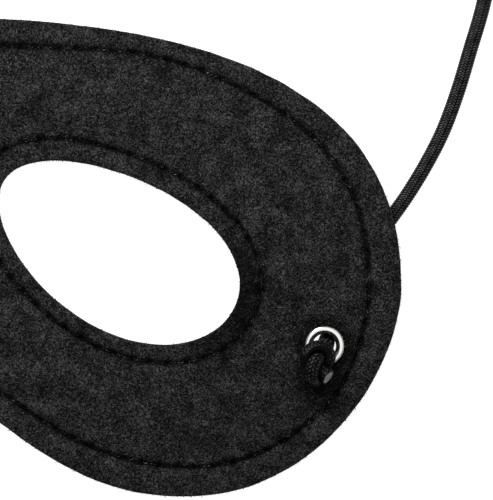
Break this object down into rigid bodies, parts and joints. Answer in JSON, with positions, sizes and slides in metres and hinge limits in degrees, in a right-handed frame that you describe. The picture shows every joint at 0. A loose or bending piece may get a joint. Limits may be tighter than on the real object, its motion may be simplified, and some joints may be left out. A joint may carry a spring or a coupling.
{
  "type": "superhero eye mask",
  "caption": "Black felt eye mask of two sewn plies, with oval eye holes, nickel eyelets at the temples and a loop of round elastic knotted through them.",
  "frame": {"origin": "on the table, below the middle of the mask's box without its elastic", "axes": "+X across the face to the viewer's right, +Y up the face towards the brow, +Z out of the front of the mask, which lies on its back"},
  "size_m": [0.2346, 0.1514, 0.0163],
  "materials": {
    "felt": "charcoal wool felt with fine grey fibres",
    "eyelet": "polished nickel plate",
    "elastic": "black braided sleeve over rubber cores",
    "thread": "black spun polyester sewing thread",
    "core": "grey rubber cores, cut across"
  },
  "bodies": {
    "root": {"felt_front": "felt", "felt_back": "felt", "eyelet_right": "eyelet", "eyelet_left": "eyelet", "elastic_cord": "elastic", "knot_right": "elastic", "knot_left": "elastic"}
  },
  "joints": []
}
